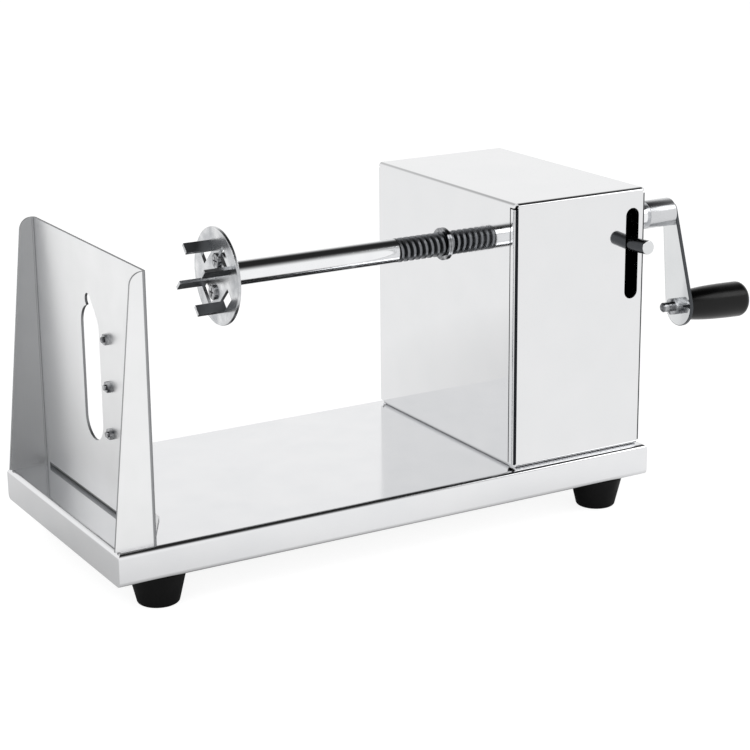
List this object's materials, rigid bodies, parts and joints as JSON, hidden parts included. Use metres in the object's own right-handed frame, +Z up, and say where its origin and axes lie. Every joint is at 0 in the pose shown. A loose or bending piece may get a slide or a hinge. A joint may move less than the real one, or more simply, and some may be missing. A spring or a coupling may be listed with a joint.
{
  "type": "hand cranked spiral potato cutter",
  "caption": "Folded steel bench cutter: a cranked lead screw drives a pronged fork towards a slicing blade in a windowed end plate.",
  "frame": {"origin": "centre of the whole footprint, on the table under the feet", "axes": "+X along the spindle from the blade to the crank, +Y to the back, +Z up"},
  "size_m": [0.4582, 0.1708, 0.19],
  "materials": {
    "polished_stainless": "mirror polished folded stainless sheet",
    "brushed_stainless": "satin brushed stainless sheet",
    "bright_rod": "ground and polished bar",
    "screw_steel": "plain stainless fasteners",
    "blade_steel": "ground hardened strip",
    "spring_steel": "drawn spring wire",
    "nut_bronze": "machined bronze",
    "black_rubber": "moulded black rubber",
    "black_plastic": "glossy moulded black plastic"
  },
  "bodies": {
    "frame": {"base_pan": "polished_stainless", "blade_plate": "brushed_stainless", "housing_cover": "polished_stainless", "foot_front_left": "black_rubber", "foot_front_right": "black_rubber", "foot_back_left": "black_rubber", "foot_back_right": "black_rubber", "foot_screws": "screw_steel", "foot_washers": "screw_steel", "foot_nuts": "screw_steel", "plate_screws": "screw_steel", "plate_nuts": "screw_steel", "blade": "blade_steel", "blade_screws": "screw_steel", "blade_nuts": "screw_steel", "cover_screws": "screw_steel", "cover_nuts": "screw_steel", "right_bush": "bright_rod", "right_bush_ring": "spring_steel", "lever_bracket": "brushed_stainless", "bracket_screws": "screw_steel", "bracket_nuts": "screw_steel", "pivot_bolt": "screw_steel", "pivot_nut": "screw_steel", "spring_hanger": "brushed_stainless", "return_spring": "spring_steel"},
    "guide": {"left_bush": "bright_rod", "left_bush_ring": "spring_steel"},
    "spindle": {"spindle_rod": "bright_rod", "fork_hub": "bright_rod", "fork_disc": "brushed_stainless", "fork_screws": "screw_steel", "crank_boss": "bright_rod", "crank_arm": "brushed_stainless", "grip_bolt": "screw_steel", "grip_nut": "screw_steel", "grip_washer": "screw_steel"},
    "grip_body": {"grip": "black_plastic", "grip_cap": "black_plastic"},
    "lever": {"lever_arm": "brushed_stainless", "release_pin": "bright_rod", "half_nut": "nut_bronze", "half_nut_screws": "screw_steel"}
  },
  "joints": [
    {"name": "crank_turn", "type": "hinge", "parent": "frame", "child": "guide", "pos_m": [0.01544, 0.00535, 0.1535], "axis": [1, 0, 0], "range_deg": [-4770, 7730]},
    {"name": "spindle_feed", "type": "slide", "parent": "guide", "child": "spindle", "axis": [1, 0, 0], "range_m": [-0.0532, 0.0861]},
    {"name": "grip_spin", "type": "hinge", "parent": "spindle", "child": "grip_body", "pos_m": [0.17808, -0.00966, 0.0967], "axis": [0.9992, -0.0103, -0.0388], "continuous": true},
    {"name": "release_lever", "type": "hinge", "parent": "frame", "child": "lever", "pos_m": [0.09544, 0.05535, 0.1505], "axis": [1, 0, 0], "range_deg": [0, 12], "stiffness_Nm_per_rad": 13, "springref_deg": -3.44, "deforming": ["return_spring"]}
  ],
  "couplings": [
    {"joint": "spindle_feed", "follows": "crank_turn", "m_per_rad": 0.00063662}
  ]
}
